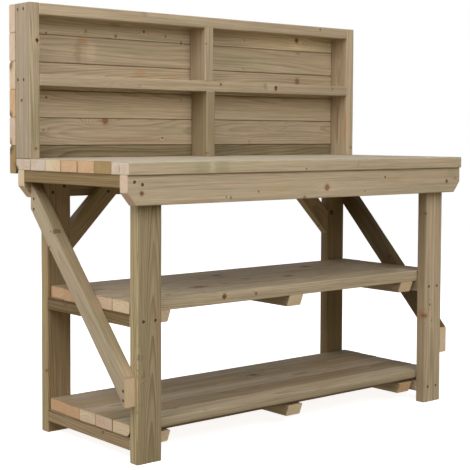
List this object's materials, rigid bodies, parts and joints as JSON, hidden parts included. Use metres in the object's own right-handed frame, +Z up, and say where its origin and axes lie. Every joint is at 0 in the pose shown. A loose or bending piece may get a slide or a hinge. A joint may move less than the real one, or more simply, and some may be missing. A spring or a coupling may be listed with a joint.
{
  "type": "potting bench",
  "caption": "Free-standing timber potting bench with two slatted shelves, braced legs and a boarded back panel with its own shelf",
  "frame": {"origin": "on the floor, under the middle of the bench's bounding box", "axes": "+X along the bench to the right seen from the front, +Y from the front to the back panel, +Z up"},
  "size_m": [1.484, 0.67, 1.39],
  "materials": {
    "timber": "planed softwood, pressure treated, satin to matt",
    "screw_steel": "dark coated deck screws"
  },
  "bodies": {
    "root": {"apron_screws": "screw_steel", "bottom_shelf_board_1": "timber", "bottom_shelf_board_2": "timber", "bottom_shelf_board_3": "timber", "bottom_shelf_board_4": "timber", "bottom_shelf_board_5": "timber", "bottom_shelf_cleat_centre": "timber", "bottom_shelf_cleat_left": "timber", "bottom_shelf_cleat_right": "timber", "bottom_shelf_rail_left": "timber", "bottom_shelf_rail_right": "timber", "brace_screws": "screw_steel", "cladding_board_1": "timber", "cladding_board_2": "timber", "cladding_board_3": "timber", "cladding_board_4": "timber", "cladding_board_5": "timber", "cladding_board_6": "timber", "cladding_screws": "screw_steel", "front_apron": "timber", "knee_brace_left": "timber", "knee_brace_right": "timber", "leg_back_left": "timber", "leg_back_right": "timber", "leg_front_left": "timber", "leg_front_right": "timber", "leg_screws": "screw_steel", "middle_shelf_board_1": "timber", "middle_shelf_board_2": "timber", "middle_shelf_board_3": "timber", "middle_shelf_board_4": "timber", "middle_shelf_board_5": "timber", "middle_shelf_cleat_centre": "timber", "middle_shelf_cleat_left": "timber", "middle_shelf_cleat_right": "timber", "middle_shelf_rail_left": "timber", "middle_shelf_rail_right": "timber", "panel_divider_lower": "timber", "panel_divider_upper": "timber", "panel_screws": "screw_steel", "panel_shelf": "timber", "panel_top_rail": "timber", "panel_upright_left": "timber", "panel_upright_right": "timber", "rear_apron": "timber", "shelf_screws": "screw_steel", "side_brace_left": "timber", "side_brace_right": "timber", "worktop_board_1": "timber", "worktop_board_2": "timber", "worktop_board_3": "timber", "worktop_board_4": "timber", "worktop_board_5": "timber", "worktop_board_6": "timber", "worktop_board_7": "timber", "worktop_centre_bearer": "timber", "worktop_screws": "screw_steel", "worktop_side_rail_left": "timber", "worktop_side_rail_right": "timber"}
  },
  "joints": []
}
